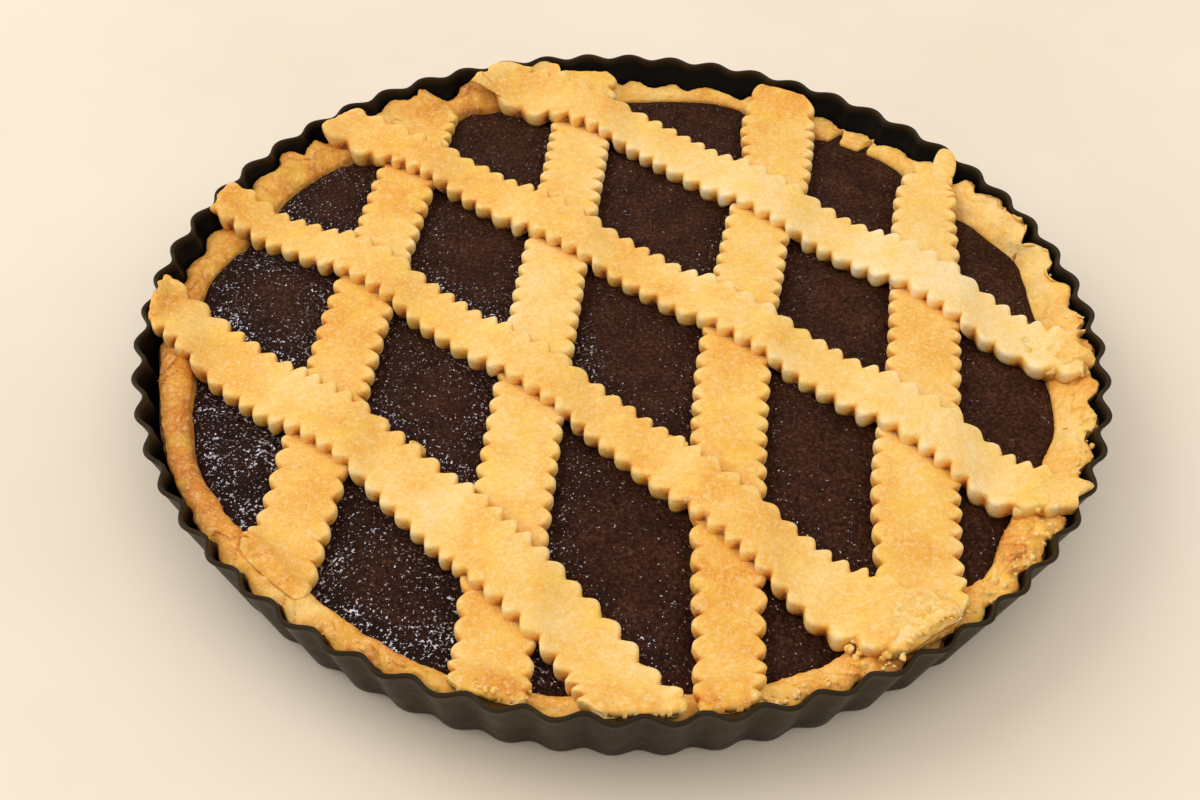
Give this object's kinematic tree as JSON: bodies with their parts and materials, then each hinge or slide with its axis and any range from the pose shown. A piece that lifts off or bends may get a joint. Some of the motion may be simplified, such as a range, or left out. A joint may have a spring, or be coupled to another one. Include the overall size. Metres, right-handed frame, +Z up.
{
  "type": "chocolate lattice tart in a fluted tin",
  "caption": "Round shortbread tart with chocolate filling and a lattice of zigzag-edged dough strips, in its dark fluted tin.",
  "frame": {"origin": "centre of the tin's flat underside, which stands on the table", "axes": "+Z up; -Y is the side nearest the viewer of the reference view, +X its right; the lower strips run from +Y to -Y"},
  "size_m": [0.2828, 0.2828, 0.0322],
  "materials": {
    "tin": "dark non-stick coated sheet steel, satin",
    "crust": "baked shortbread, golden, browner along its edge, matt and craggy",
    "filling": "baked dark chocolate, satin with small shiny specks",
    "lower_strips": "baked shortbread, pale gold, fine sandy grain",
    "upper_strips": "baked shortbread, golden, fine sandy grain"
  },
  "bodies": {
    "root": {"tin": "tin", "crust": "crust", "filling": "filling", "strip_b1": "lower_strips", "strip_b2": "lower_strips", "strip_b3": "lower_strips", "strip_b4": "lower_strips", "strip_a1": "upper_strips", "strip_a2": "upper_strips", "strip_a3": "upper_strips", "strip_a4": "upper_strips"}
  },
  "joints": []
}
